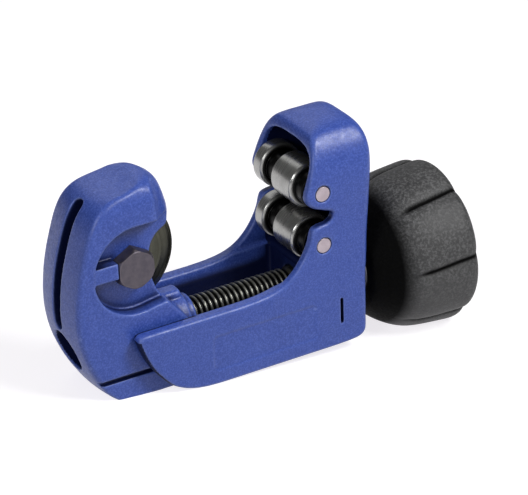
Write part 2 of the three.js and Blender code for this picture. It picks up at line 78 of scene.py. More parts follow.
# turning lines: direction and a point on the line
SPINDLE_LINE = ("x", (0, 0, SPINDLE_Z))
WHEEL_LINE = ("y", (WHEEL_X, 0, WHEEL_Z))

# mesh fineness
CAST_STEP = 0.34
SMALL_STEP = 0.16
KEY_STEP = 0.14
TURN_SEGMENTS = 112


# ------------------------------------------------------------------ outlines
def soften(points, cut=1.0, rounds=3, closed=True):
    """Cuts the corners of an outline repeatedly into a smooth curve.

    cut caps the corner's size, and a third value of 0 on a point keeps it sharp.
    """
    places = [np.array(q[:2], float) for q in points]
    sharp = [len(q) > 2 and q[2] == 0 for q in points]
    for k in range(rounds):
        cut_places, cut_sharp = [], []
        n = len(places)
        for i in range(n):
            if (not closed and i in (0, n - 1)) or sharp[i]:
                cut_places.append(places[i])
                cut_sharp.append(sharp[i])
                continue
            corner = places[i]
            for end in (places[i - 1], places[(i + 1) % n]):
                length = np.linalg.norm(end - corner)
                step = min(0.25 * length, cut / (2 ** k))
                cut_places.append(corner + (end - corner) / length * step)
                cut_sharp.append(False)
        places, sharp = cut_places, cut_sharp
    return np.array(places)


def section(half, base):
    """Smooth y, z outline from its +y half, listed upwards, carried straight down to base."""
    width = half[0][0]
    mirror = [(-y, z) for y, z in half[::-1]]
    return soften([(width, base), *half, *mirror, (-width, base)], cut=2.0)


def outline_distance(u, v, points):
    """Signed distance to a closed outline, negative inside."""
    P = np.asarray(points, F32)
    u, v = np.broadcast_arrays(np.asarray(u, F32), np.asarray(v, F32))
    nearest = np.full(u.shape, 1e12, F32)
    inside = np.zeros(u.shape, bool)
    j = len(P) - 1
    for i in range(len(P)):
        edge_u, edge_v = P[j] - P[i]
        to_u, to_v = u - P[i, 0], v - P[i, 1]
        t = (to_u * edge_u + to_v * edge_v) / (edge_u * edge_u + edge_v * edge_v + F32(1e-20))
        t = np.clip(t, 0, 1)
        gap_u, gap_v = to_u - edge_u * t, to_v - edge_v * t
        np.minimum(nearest, gap_u * gap_u + gap_v * gap_v, out=nearest)
        above, below, left = v >= P[i, 1], v < P[j, 1], edge_u * to_v > edge_v * to_u
        inside ^= (above & below & left) | (~above & ~below & ~left)
        j = i
    return np.where(inside, -1, 1).astype(F32) * np.sqrt(nearest)


class Field:
    """An outline's signed distance on a fine grid, read back between grid points."""

    def __init__(self, points, step=0.15, pad=12.0):
        lo, hi = points.min(0) - pad, points.max(0) + pad
        self.lo, self.step = lo, step
        n = np.ceil((hi - lo) / step).astype(int) + 1
        u = (lo[0] + step * np.arange(n[0]))[:, None]
        v = (lo[1] + step * np.arange(n[1]))[None, :]
        self.grid = outline_distance(u, v, points)

    def __call__(self, u, v):
        g, n = self.grid, self.grid.shape
        a = np.clip((u - self.lo[0]) / self.step, 0, n[0] - 1.001)
        b = np.clip((v - self.lo[1]) / self.step, 0, n[1] - 1.001)
        i, j = a.astype(np.int32), b.astype(np.int32)
        a, b = (a - i).astype(F32), (b - j).astype(F32)
        first = g[i, j] * (1 - a) + g[i + 1, j] * a
        second = g[i, j + 1] * (1 - a) + g[i + 1, j + 1] * a
        return first * (1 - b) + second * b


class Outline:
    """Exact distance for grids, looked-up distance for scattered points."""

    def __init__(self, points):
        self.points, self.field = points, None

    def __call__(self, u, v):
        if np.ndim(u) == 1:
            if self.field is None:
                self.field = Field(self.points, step=0.25)
            return self.field(u, v)
        return outline_distance(u, v, self.points)


# ------------------------------------------------------------------ solids as distances
# both, either and without combine distances and round the edge where they meet by r
def both(a, b, r):
    corner = np.sqrt(np.maximum(r + a, 0) ** 2 + np.maximum(r + b, 0) ** 2)
    return np.minimum(-r, np.maximum(a, b)) + corner


def either(a, b, r):
    corner = np.sqrt(np.maximum(r - a, 0) ** 2 + np.maximum(r - b, 0) ** 2)
    return np.maximum(r, np.minimum(a, b)) - corner


def without(a, b, r):
    return both(a, -b, r)


def ramp(x, start, end):
    """0 at start to 1 at end, eased; start may be the larger."""
    t = np.clip((x - start) / (end - start), 0, 1)
    return t * t * (3 - 2 * t)


def span(x, start, end):
    return np.maximum(start - x, x - end)


def radius(u, v):
    return np.sqrt(u ** 2 + v ** 2)


def rect(u, v, u0, u1, v0, v1, r):
    """Rectangle u0..u1 by v0..v1 with corners of radius r."""
    du, dv = span(u, u0 + r, u1 - r), span(v, v0 + r, v1 - r)
    return radius(np.maximum(du, 0), np.maximum(dv, 0)) + np.minimum(np.maximum(du, dv), 0) - r


def hexagon(u, v, flats):
    """Hexagon, flats apart, with two of its flats facing +-u."""
    c, s = math.cos(math.pi / 3), math.sin(math.pi / 3)
    slanted = np.maximum(np.abs(c * u + s * v), np.abs(c * u - s * v))
    return np.maximum(np.abs(u), slanted) - flats / 2


def chamfer(r, start, depth):
    """Cone of radius start at depth 0 that widens with depth."""
    return (r - start) * 0.86 - depth * 0.52


def surface(distance, lo, hi, step):
    """Mesh of the zero level over a box: one vertex in each cell the surface crosses."""
    n = [int(math.ceil((b - a) / step)) + 1 for a, b in zip(lo, hi)]
    x, y, z = [(lo[i] + step * np.arange(n[i])).astype(F32) for i in range(3)]
    f = distance(x[:, None, None], y[None, :, None], z[None, None, :]).astype(F32)
    f = np.broadcast_to(f, n)
    inside = f < 0
    count = np.zeros([k - 1 for k in n], np.uint8)
    corners = [(i, j, k) for i in (0, 1) for j in (0, 1) for k in (0, 1)]
    for i, j, k in corners:
        count += inside[i:n[0] - 1 + i, j:n[1] - 1 + j, k:n[2] - 1 + k]
    active = (count > 0) & (count < 8)
    cells = np.argwhere(active)
    index = np.full(active.shape, -1, np.int32)
    index[active] = np.arange(len(cells))

    # each vertex is the mean of the crossings on its cell's edges
    total = np.zeros((len(cells), 3))
    crossings = np.zeros(len(cells))
    values = {c: f[tuple((cells + c).T)].astype(float) for c in corners}
    for start in corners:
        for k in range(3):
            if start[k]:
                continue
            end = list(start)
            end[k] = 1
            end = tuple(end)
            fa, fb = values[start], values[end]
            crossed = (fa < 0) != (fb < 0)
            t = np.where(crossed, fa / np.where(crossed, fa - fb, 1), 0)
            a, b = np.array(start, float), np.array(end, float)
            place = a[None, :] + t[:, None] * (b - a)[None, :]
            total[crossed] += place[crossed]
            crossings[crossed] += 1
    verts = (total / crossings[:, None] + cells) * step + np.array(lo)

    # a quad round every grid edge the surface crosses
    quads = []
    unit = np.eye(3, dtype=int)
    for k in range(3):
        a, b = (k + 1) % 3, (k + 2) % 3
        here, beyond = [slice(1, -1)] * 3, [slice(1, -1)] * 3
        here[k], beyond[k] = slice(0, -1), slice(1, None)
        inside_here = inside[tuple(here)]
        at = np.argwhere(inside_here != inside[tuple(beyond)])
        outward = inside_here[tuple(at.T)]
        at += unit[a] + unit[b]
        shifts = (unit[a] + unit[b], unit[b], 0 * unit[a], unit[a])
        quad = np.stack([index[tuple((at - shift).T)] for shift in shifts], 1)
        quad[~outward] = quad[~outward][:, ::-1]
        quads.append(quad)
    return verts, np.concatenate(quads)


# ------------------------------------------------------------------ mesh makers
def new_piece(name, verts, faces, body, replaced, finish, smooth=True):
    """Object from vertices in mm; faces is an array of quads or a list of lists.

    finish is a slot name with its material, replaced the CAD piece it stands for.
    """
    slot, material = finish
    verts = np.asarray(verts, float) * MM
    me = bpy.data.meshes.new(name)
    if isinstance(faces, np.ndarray):
        me.vertices.add(len(verts))
        me.vertices.foreach_set("co", verts.astype(F32).ravel())
        me.loops.add(faces.size)
        me.loops.foreach_set("vertex_index", faces.astype(np.int32).ravel())
        me.polygons.add(len(faces))
        starts = (np.arange(len(faces)) * faces.shape[1]).astype(np.int32)
        me.polygons.foreach_set("loop_start", starts)
        me.update(calc_edges=True)
    else:
        me.from_pydata([tuple(v) for v in verts], [], faces)
    me.validate()
    me.polygons.foreach_set("use_smooth", np.full(len(me.polygons), smooth))
    me.materials.append(material)
    piece = bpy.data.objects.new(name, me)
    bpy.context.scene.collection.objects.link(piece)
    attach(piece, body)
    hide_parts(replaced)
    return piece


def carved(name, distance, lo, hi, step, body, replaced, finish):
    """Piece meshed from a distance function over the box lo..hi."""
    verts, faces = surface(distance, lo, hi, step)
    return new_piece(name, verts, faces, body, replaced, finish)


def rounded_profile(points, r=0.2, steps=3):
    """Rounds a profile's corners with small arcs; a third value is that corner's own radius."""
    closed = points[0][:2] == points[-1][:2]
    places = [np.array(q[:2], float) for q in (points[:-1] if closed else points)]
    radii = [q[2] if len(q) > 2 else r for q in points]
    n, out = len(places), []
    for i in range(n):
        if (not closed and i in (0, n - 1)) or radii[i] == 0:
            out.append(places[i])
            continue
        a, b, c = places[i - 1], places[i], places[(i + 1) % n]
        before, after = np.linalg.norm(a - b), np.linalg.norm(c - b)
        size = min(radii[i], before * 0.45, after * 0.45)
        start, end = b + (a - b) / before * size, b + (c - b) / after * size
        for k in range(steps + 1):
            t = k / steps
            out.append((1 - t) ** 2 * start + 2 * t * (1 - t) * b + t * t * end)
    if closed:
        out.append(out[0])
    return out


def ring_profile(start, end, inner, outer):
    """Closed rectangular profile of a ring."""
    return [(start, inner), (start, outer), (end, outer), (end, inner), (start, inner)]


def laid_along(verts, line):
    """Moves vertices made about the x axis onto a turning line."""
    direction, at = line
    verts = np.array(verts)
    return (verts if direction == "x" else verts[:, [2, 0, 1]]) + np.array(at)


def circle(segments):
    return np.linspace(0, 2 * math.pi, segments, endpoint=False)


def lathe(name, profile, line, body, replaced, finish, r=0.15, steps=3, segments=TURN_SEGMENTS):
    """Turns a profile of (distance along, radius[, corner radius]) about a line.

    Points on the line make a closed end.
    """
    points = np.asarray(rounded_profile(profile, r, steps), float)
    closed = np.allclose(points[0], points[-1])
    if closed:
        points = points[:-1]
    n = len(points)
    verts, rings = [], []
    for along, out in points:
        if out < 1e-6:
            rings.append([len(verts)] * segments)
            verts.append((along, 0, 0))
        else:
            rings.append(list(range(len(verts), len(verts) + segments)))
            verts += [(along, out * math.cos(t), out * math.sin(t)) for t in circle(segments)]
    faces = []
    for i in range(n if closed else n - 1):
        a, b = rings[i], rings[(i + 1) % n]
        for j in range(segments):
            k = (j + 1) % segments
            face = list(dict.fromkeys([a[j], a[k], b[k], b[j]]))
            if len(face) > 2:
                faces.append(face)
    after = np.roll(points, -1, axis=0)
    if sum(p[0] * q[1] - q[0] * p[1] for p, q in zip(points, after)) > 0:
        faces = [face[::-1] for face in faces]
    return new_piece(name, laid_along(verts, line), faces, body, replaced, finish)


def split_ring(name, profile, line, gap_deg, gap_at_deg, body, replaced, finish, twist=0.0):
    """Ring with a gap; twist is how far its two ends stand apart along the line."""
    edge_r, n = 0.12, 80
    sec = rounded_profile(profile[::-1], edge_r)[:-1]
    m = len(sec)
    verts, faces = [], []
    for i in range(n + 1):
        t = math.radians(gap_at_deg + gap_deg / 2 + (360 - gap_deg) * i / n)
        shift = twist * (i / n - 0.5)
        verts += [(a + shift, r * math.cos(t), r * math.sin(t)) for a, r in sec]
    for i in range(n):
        for j in range(m):
            k = (j + 1) % m
            faces.append([(i + 1) * m + j, (i + 1) * m + k, i * m + k, i * m + j])
    faces.append(list(range(m)))
    faces.append(list(range(n * m, (n + 1) * m))[::-1])
    new_piece(name, laid_along(verts, line), faces, body, replaced, finish, smooth=False)


# ------------------------------------------------------------------ how open each point is, for painted shade
def put_shade(piece, value):
    """Stores how open each point is, 0 to 1, for the material to paint shade by."""
    at = piece.data.attributes.new("shade", "FLOAT", "POINT")
    at.data.foreach_set("value", np.asarray(value, F32))


def read_vectors(items, key):
    flat = np.empty(len(items) * 3, F32)
    items.foreach_get(key, flat)
    return flat.reshape(-1, 3)


def shade_casting(piece, distance, added_shade):
    """Painted shade: looks along each normal for the casting's own walls, so recesses come out low.
    """
    places = read_vectors(piece.data.vertices, "co") / MM
    normals = read_vectors(piece.data.vertex_normals, "vector")
    dark = np.zeros(len(places))
    # how far to look, and how much that look counts
    for reach, weight in ((0.7, 0.22), (1.8, 0.26), (4.0, 0.30), (8.0, 0.34)):
        q = (places + normals * reach).astype(F32)
        dark += weight * (1 - np.clip(distance(q[:, 0], q[:, 1], q[:, 2]) / reach, 0, 1))
    # the second factor is further painted shade, given for each casting
    put_shade(piece, np.clip(1 - dark, 0, 1) * added_shade(places, normals))


# ------------------------------------------------------------------ materials
class Shader:
    """A Principled material being built."""

    def __init__(self, name):
        self.material = bpy.data.materials.new(name)
        self.material.use_nodes = True
        self.tree = self.material.node_tree
        self.tree.nodes.clear()
        self.output = self.add("OutputMaterial")
        self.principled = self.add("BsdfPrincipled")
        self.put(self.output.inputs["Surface"], self.principled.outputs[0])
        self.position = self.add("TexCoord").outputs["Object"]

    def add(self, kind):
        return self.tree.nodes.new("ShaderNode" + kind)

    def put(self, socket, value):
        """Links an output to a socket, or sets a number, a colour tuple or a vector list."""
        if isinstance(value, bpy.types.NodeSocket):
            self.tree.links.new(value, socket)
        else:
            socket.default_value = (*value, 1) if isinstance(value, tuple) else value

    def feed(self, name, value):
        self.put(self.principled.inputs[name], value)

    def noise(self, per_mm, detail=2.0, roughness=0.5, position=None):
        """Noise with per_mm features a millimetre."""
        node = self.add("TexNoise")
        node.inputs["Scale"].default_value = per_mm * 1000
        node.inputs["Detail"].default_value = detail
        node.inputs["Roughness"].default_value = roughness
        self.put(node.inputs["Vector"], self.position if position is None else position)
        return node.outputs["Fac"]

    def remap(self, value, over, to):
        """Carries the range over onto the range to."""
        node = self.add("MapRange")
        for i, number in enumerate((*over, *to), 1):
            node.inputs[i].default_value = number
        self.put(node.inputs[0], value)
        return node.outputs[0]

    def tint(self, base, colour, value, over, most=1.0):
        """Mixes colour into base, from none to most as value runs through over."""
        factor = self.remap(value, over, (0.0, most))
        node = self.add("Mix")
        node.data_type = "RGBA"
        for i, source in ((6, base), (7, colour), (0, factor)):
            self.put(node.inputs[i], source)
        return node.outputs[2]

    def math(self, operation, first, second):
        node = self.add("Math")
        node.operation = operation
        self.put(node.inputs[0], first)
        self.put(node.inputs[1], second)
        return node.outputs[0]

    def shade(self):
        node = self.add("Attribute")
        node.attribute_name = "shade"
        return node.outputs["Fac"]

    def edge(self):
        """Above 0.5 on outward edges, below it in inward ones."""
        return self.add("NewGeometry").outputs["Pointiness"]

    def bump(self, *layers):
        """Chains layers of (height, distance in mm, strength)."""
        last = None
        for height, distance, strength in layers:
            node = self.add("Bump")
            node.inputs["Strength"].default_value = strength
            node.inputs["Distance"].default_value = distance * MM
            self.put(node.inputs["Height"], height)
            if last is not None:
                self.put(node.inputs["Normal"], last)
            last = node.outputs["Normal"]
        self.feed("Normal", last)


def mix_shader(tree, factor, first, second):
    node = tree.nodes.new("ShaderNodeMixShader")
    for i, source in enumerate((factor, first, second)):
        tree.links.new(source, node.inputs[i])
    return node.outputs[0]


def blue_paint():
    """Mottled powder coat; painted highlight and wear on edges, painted shade in creases and
    recesses.
    """
    s = Shader("blue_powder_coat")
    fine = s.noise(per_mm=2.2, roughness=0.6)
    medium = s.noise(per_mm=0.75, detail=3.0, roughness=0.6)
    broad = s.noise(per_mm=0.06)
    dark, base, light = (0.015, 0.042, 0.250), (0.030, 0.074, 0.385), (0.105, 0.180, 0.64)
    wear_and_highlight, corner, recess = (0.17, 0.25, 0.66), (0.018, 0.028, 0.15), (0.003, 0.005, 0.030)
    c = s.tint(base, dark, broad, over=(0.3, 0.7), most=0.35)
    c = s.tint(c, light, fine, over=(0.42, 0.66), most=0.55)
    c = s.tint(c, dark, medium, over=(0.55, 0.72), most=0.25)
    # outward edges paler from wear and a painted highlight; inward edges darker as painted shade
    edge = s.edge()
    c = s.tint(c, wear_and_highlight, edge, over=(0.505, 0.56), most=0.55)
    c = s.tint(c, corner, edge, over=(0.495, 0.44), most=0.6)
    # painted shade in recesses, from the shade attribute
    c = s.tint(c, recess, s.shade(), over=(0.86, 0.36), most=0.95)
    s.feed("Base Color", c)
    s.feed("Specular IOR Level", s.remap(s.shade(), over=(0.2, 0.8), to=(0.08, 0.62)))
    s.feed("Roughness", s.remap(medium, over=(0.3, 0.7), to=(0.34, 0.50)))
    s.bump((medium, 0.14, 0.45), (fine, 0.07, 0.6))
    return s.material


def steel(name, base, light, roughness, metallic=0.95, spots=0.2):
    """Plain metal; spots is how much of the light colour clouds it."""
    s = Shader(name)
    cloud = s.noise(per_mm=0.5, detail=4.0, roughness=0.6)
    grain = s.noise(per_mm=3.0)
    c = s.tint(base, light, cloud, over=(0.35, 0.7), most=spots)
    c = s.tint(c, light, s.edge(), over=(0.51, 0.60), most=0.8)
    s.feed("Base Color", c)
    s.feed("Metallic", metallic)
    s.feed("Roughness", s.remap(cloud, (0.3, 0.7), (roughness - 0.07, roughness + 0.10)))
    s.bump((grain, 0.02, 0.5))
    return s.material


def turned_steel(name, base, light, roughness, line, rings=2.5, dark_low=False):
    """Steel with turning marks, rings to a mm, about a line; dark_low blackens low shade."""
    s = Shader(name)
    direction, centre = line
    offset = s.add("VectorMath")
    offset.operation = "SUBTRACT"
    s.put(offset.inputs[1], [c * MM for c in centre])
    s.put(offset.inputs[0], s.position)
    parts = s.add("SeparateXYZ")
    s.put(parts.inputs[0], offset.outputs[0])
    along, across = ("Y", "X") if direction == "y" else ("X", "Y")
    squares = [s.math("POWER", parts.outputs[part], 2.0) for part in (across, "Z")]
    distance = s.math("SQRT", s.math("ADD", *squares), 0.0)
    polar = s.add("CombineXYZ")
    s.put(polar.inputs[0], distance)
    s.put(polar.inputs[1], parts.outputs[along])
    marks = s.noise(per_mm=rings, detail=3, position=polar.outputs[0])
    cloud = s.noise(per_mm=0.3, detail=3.0, roughness=0.6)
    c = s.tint(base, light, marks, over=(0.35, 0.7), most=0.5)
    c = s.tint(c, tuple(v * 0.6 for v in base), cloud, over=(0.45, 0.7), most=0.4)
    c = s.tint(c, light, s.edge(), over=(0.52, 0.62), most=0.7)
    if dark_low:
        # painted shade: near black where shade is low
        c = s.tint((0.008, 0.008, 0.008), c, s.shade(), over=(0.15, 0.85))
    s.feed("Base Color", c)
    s.feed("Metallic", 0.9)
    s.feed("Roughness", s.remap(marks, (0.3, 0.7), (roughness - 0.06, roughness + 0.1)))
    s.bump((marks, 0.006, 0.4))
    return s.material


def thread_steel():
    """Black oxide rubbed bright on the crests, with painted shade making the roots near black."""
    s = Shader("black_oxide_thread")
    wear = s.noise(per_mm=0.9, detail=3.0, roughness=0.6)
    grain = s.noise(per_mm=4.0)
    crest = s.tint((0.17, 0.17, 0.150), (0.34, 0.34, 0.30), wear, over=(0.35, 0.65))
    # painted shade: the thread's roots go near black
    root = (0.006, 0.006, 0.007)
    s.feed("Base Color", s.tint(root, crest, s.shade(), over=(0.40, 0.85)))
    s.feed("Metallic", 0.85)
    s.feed("Roughness", s.remap(wear, over=(0.3, 0.7), to=(0.26, 0.40)))
    s.bump((grain, 0.015, 0.5))
    return s.material


def plastic(name, grooved):
    """Coarse black plastic; a grooved one takes painted shade, blacker and duller where shade is
    low.
    """
    s = Shader(name)
    fine = s.noise(per_mm=1.5, detail=3.0, roughness=0.65)
    medium = s.noise(per_mm=0.5, detail=3.0, roughness=0.6)
    broad = s.noise(per_mm=0.05)
    base, light, dark = (0.024, 0.024, 0.025), (0.125, 0.125, 0.127), (0.008, 0.008, 0.009)
    corner, groove = (0.010, 0.010, 0.011), (0.0012, 0.0012, 0.0012)
    c = s.tint(base, light, fine, over=(0.44, 0.62), most=0.9)
    c = s.tint(c, dark, medium, over=(0.5, 0.7), most=0.45)
    c = s.tint(c, light, broad, over=(0.3, 0.7), most=0.25)
    # painted shade in inward edges
    c = s.tint(c, corner, s.edge(), over=(0.495, 0.45), most=0.8)
    if grooved:
        # painted shade in the knob's grooves and painted shadow of the hood on its end near the
        # frame
        c = s.tint(c, groove, s.shade(), over=(0.95, 0.1), most=0.98)
        s.feed("Specular IOR Level", s.remap(s.shade(), over=(0.1, 0.9), to=(0.03, 0.5)))
    s.feed("Base Color", c)
    s.feed("Roughness", s.remap(fine, over=(0.3, 0.7), to=(0.48, 0.72)))
    s.bump((medium, 0.16, 0.45), (fine, 0.14, 0.8))
    return s.material


# finishes: slot name and material
PAINT = ("blue_paint", blue_paint())
PLASTIC = ("black_plastic", plastic("black_textured_plastic", grooved=False))
GRIP = ("black_plastic", plastic("black_textured_grip", grooved=True))
BLACK_STEEL = ("black_steel", turned_steel(
    "black_oxide_steel", base=(0.022, 0.022, 0.023), light=(0.085, 0.085, 0.08),
    roughness=0.27, line=SPINDLE_LINE))
THREAD_STEEL = ("black_steel", thread_steel())
ZINC = ("plain_steel", steel(
    "zinc_plated_steel", base=(0.42, 0.42, 0.43), light=(0.62, 0.62, 0.60), roughness=0.30))
PIN_STEEL = ("pin_steel", steel(
    "ground_pin_steel", base=(0.42, 0.35, 0.39), light=(0.62, 0.54, 0.58), roughness=0.38,
    metallic=0.75, spots=0.6))
BOLT_STEEL = ("bolt_steel", steel(
    "phosphated_bolt_steel", base=(0.090, 0.080, 0.100), light=(0.24, 0.21, 0.23),
    roughness=0.48, metallic=0.8, spots=0.35))
BRONZE = ("bronze", steel(
    "sintered_bronze", base=(0.36, 0.22, 0.08), light=(0.55, 0.38, 0.17), roughness=0.42))


# ------------------------------------------------------------------ frame casting
# x, z of the side view
frame_side = Outline(soften([
    (-37.5, 0.4), (-33, -0.1), (-30, -0.15), (5, -0.15), (8.6, -0.1), (10.8, 0.4), (12.0, 1.7),
    (12.2, 4), (12.2, 8), (12.2, 14), (12.2, 17), (12.5, 20.2), (13.0, 24.4), (13.3, 29.0),
    (13.7, 34.0), (14.1, 39.0), (14.5, 44.0), (15.0, 48.4), (15.3, 52.0), (15.1, 55.5),
    (14.1, 58.0), (11.9, 59.3), (8.8, 59.4), (5.6, 59.0), (3.2, 58.5), (1.6, 58.0), (0.2, 57.4),
    (-0.8, 55.7), (-1.6, 53.6), (-2.3, 51.2), (-3.1, 48.8), (-3.9, 46.4), (-4.7, 44),
    (-4.7, 42.7), (-4.1, 41.4), (-3.0, 40.4), (-1.5, 39.7), (0.8, 38.8), (2.3, 38.3),
    (3.0, 37.3), (2.6, 36.2), (1.5, 35.4), (0.1, 35.15), (-1.6, 35.0), (-2.9, 34.4),
    (-3.5, 33.1), (-3.9, 31.0), (-4.9, 28.7), (-6.6, 25.9), (-8.9, 23.3), (-11.8, 21.3),
    (-15.1, 20.2), (-19, 19.65), (-24.1, 19.4), (-38, 19.4), (-49.6, 19.4), (-51.9, 19.4),
    (-53.0, 19.0), (-53.25, 17.9), (-52.5, 15.8), (-51.3, 12.6), (-49.8, 9.6), (-47.5, 6.4),
    (-44.6, 3.4), (-41.2, 1.5),
]))
# y, z of the +y half of the cross-section
frame_section = Outline(section([
    (13.7, 2), (13.7, 30), (13.7, 41), (13.65, 45), (13.3, 48.6), (12.6, 51.6), (11.5, 54.2),
    (9.9, 56.4), (7.9, 58.1), (5.3, 59.3), (2.6, 59.9),
], base=-4))
# the hollow of the roller hood, the same two views
hood_side = Outline(soften([
    (-30, 20.6), (-2, 20.9), (-1.2, 21.5), (7.6, 21.5), (8.8, 23.6), (10.0, 29), (11.0, 36),
    (11.6, 43), (11.7, 48), (11.0, 51.8), (9.2, 54.6), (6.6, 55.4), (-20, 55.4), (-30, 55.4),
]))
hood_section = Outline(section([
    (11.2, 19), (11.2, 40), (11.2, 46.0), (11.2, 48.8), (11.0, 50.8), (10.1, 52.7),
    (8.2, 54.2), (5.4, 55.1), (2.4, 55.4),
], base=8))
BOSS_R = 10.0
CHANNEL_HALF = 10.1
PIN_HOLE_R = 2.16
SPINDLE_HOLE_R = 4.22
PANEL_FLOOR_Y = 13.56


def frame_distance(x, y, z):
    ay = np.abs(y)
    back = ramp(x, 1.0, 9.0) * ramp(z, 16, 30)
    foot = ramp(x, 2.0, 9.0) * ramp(z, 10, 3)
    edge_r = (0.9 + 1.1 * back + 0.3 * foot - 0.45 * ramp(z, 7, 2)).astype(F32)
    d = both(frame_side(x, z), frame_section(y, z), edge_r)
    # boss round the spindle at the knob end
    out = radius(y, z - SPINDLE_Z)
    d = either(d, both(both(out - BOSS_R, x - 13.8, 0.6), 6 - x, 0.2), 0.6)
    # channel, open underneath, then the roller hood
    d = without(d, both(ay - CHANNEL_HALF, x + 2.0, 0.8), 0.9)
    d = without(d, both(hood_side(x, z), hood_section(y, z), 1.0), 0.6)
    # holes for the roller pins and the spindle
    for pin_z in ROLLER_Z.values():
        d = without(d, radius(x - PIN_X, z - pin_z) - PIN_HOLE_R, 0.22)
    d = without(d, out - SPINDLE_HOLE_R, 0.3)
    # key slot, with a smaller mouth carried out through the -y side
    slot = np.maximum(rect(x, z, 4.38, 5.32, 5.1, 13.6, 0.3), span(y, -12.0, 9.4))
    slot = np.minimum(slot, np.maximum(rect(x, z, 4.5, 5.2, 5.9, 13.1, 0.3), y))
    d = without(d, slot, 0.18)
    # shallow panel on each side
    panel = np.maximum(rect(x, z, -32.5, -3.0, 3.9, 13.3, 1.2), PANEL_FLOOR_Y - ay)
    d = without(d, panel, 0.35)
    # rail along each wall of the channel
    rail = np.maximum(rect(ay, z, 9.0, 14, 7.05, 7.85, 0.15), span(x, -46.0, -1.0))
    return np.minimum(d, np.maximum(rail, ay - 12))


def frame_painted_shade(places, normals):
    """Painted shade inside the channel and the hood, on the free end's edge faces and on its wall
    tops.
    """
    x, y, z = places.T
    ay = np.abs(y)
    inner = ay < 10.9
    # painted shade in the channel, darker towards its floor, and on the block's face at its end
    channel_shade = np.where(inner & (x < -2.9) & (z < 21), 0.10 + 0.90 * ramp(z, 14.5, 19.2), 1.0)
    channel_shade *= np.where(inner & (np.abs(x + 2.2) < 1.0) & (z < 20.5), 0.40, 1.0)
    below_skin = (frame_side(x, z) < -1.6) & (frame_section(y, z) < -1.2)
    # painted shade in the hood, on the free end's faces towards -x and along the wall tops by the
    # jaw
    hood = np.where((ay < 11.6) & (x > -2.5) & (z > 20) & below_skin, 0.12, 1.0)
    end = np.where((x < -42) & (normals[:, 0] < -0.45) & (z < 18), 0.22, 1.0)
    lip = np.where((x < -36) & (z > 18.4) & (ay < 11.2), 0.25, 1.0)
    return channel_shade * hood * end * lip


# ------------------------------------------------------------------ jaw casting
# x, z of the side view
jaw_side = Field(soften([
    (-57.3, 0.85, 0), (-54, 0.85), (-38, 0.85), (-35.6, 0.85), (-35.6, 4.0), (-35.6, 15.5),
    (-36.4, 17.4), (-38.5, 20.3), (-40.6, 22.9), (-42.5, 25.2), (-43.6, 27.0), (-44.5, 29.6),
    (-45.2, 33), (-45.2, 37), (-44.7, 39.6), (-43.5, 41.5), (-41.6, 42.8), (-39.6, 43.6),
    (-38.5, 44.6), (-38.05, 46.2), (-38.1, 48.2), (-38.8, 50.9), (-39.7, 53.8), (-40.8, 56.4),
    (-41.8, 57.7), (-43.0, 58.5), (-45.0, 58.1), (-47.2, 57.3), (-51, 56.2), (-54.6, 55.6),
    (-57.0, 55.1), (-59.1, 54.2), (-61.1, 52.6), (-62.8, 50.1), (-64.2, 46.9), (-65.7, 42.2),
    (-66.9, 38), (-67.8, 33.5), (-68.4, 28), (-68.4, 23.4), (-67.8, 18.8), (-66.6, 14.2),
    (-64.3, 8.6), (-61.2, 3.6),
]))
# y, z of the +y half of the cross-section
jaw_section = Outline(section([
    (9.9, 3), (9.9, 30), (9.9, 46), (9.85, 49), (9.65, 51.6), (9.2, 53.9), (8.3, 56.0),
    (7.0, 57.8), (5.2, 59.1), (2.8, 59.8),
], base=-4))
# side pocket: half a circle about the wheel's axle, open towards +x
POCKET_R = 11.7
pocket_side = Outline(np.array([
    *[(WHEEL_X + POCKET_R * math.cos(t), WHEEL_Z + POCKET_R * math.sin(t))
      for t in np.linspace(math.pi / 2, 3 * math.pi / 2, 40)],
    (-48.4, 24.25), (-46, 24.7), (-43, 25.1), (-36, 25.4), (-34, 25.4), (-34, 47.5),
]))
slot_side = Outline(soften([
    (-74, 20.8), (-58, 20.8), (-45, 21.0), (-38.6, 24.5), (-30, 24.5), (-30, 44.2),
    (-37.2, 44.2), (-44, 50), (-56, 51), (-60.0, 54.0), (-61.2, 55.0), (-74, 55.0),
], cut=0.8))
POCKET_FLOOR_Y = 5.9
SLOT_HALF = 1.85
WHEEL_CLEARANCE_R = 16.0
AXLE_HOLE_R = 3.14
THREAD_BORE_R = 4.3
BORE_MOUTH_R = 5.45


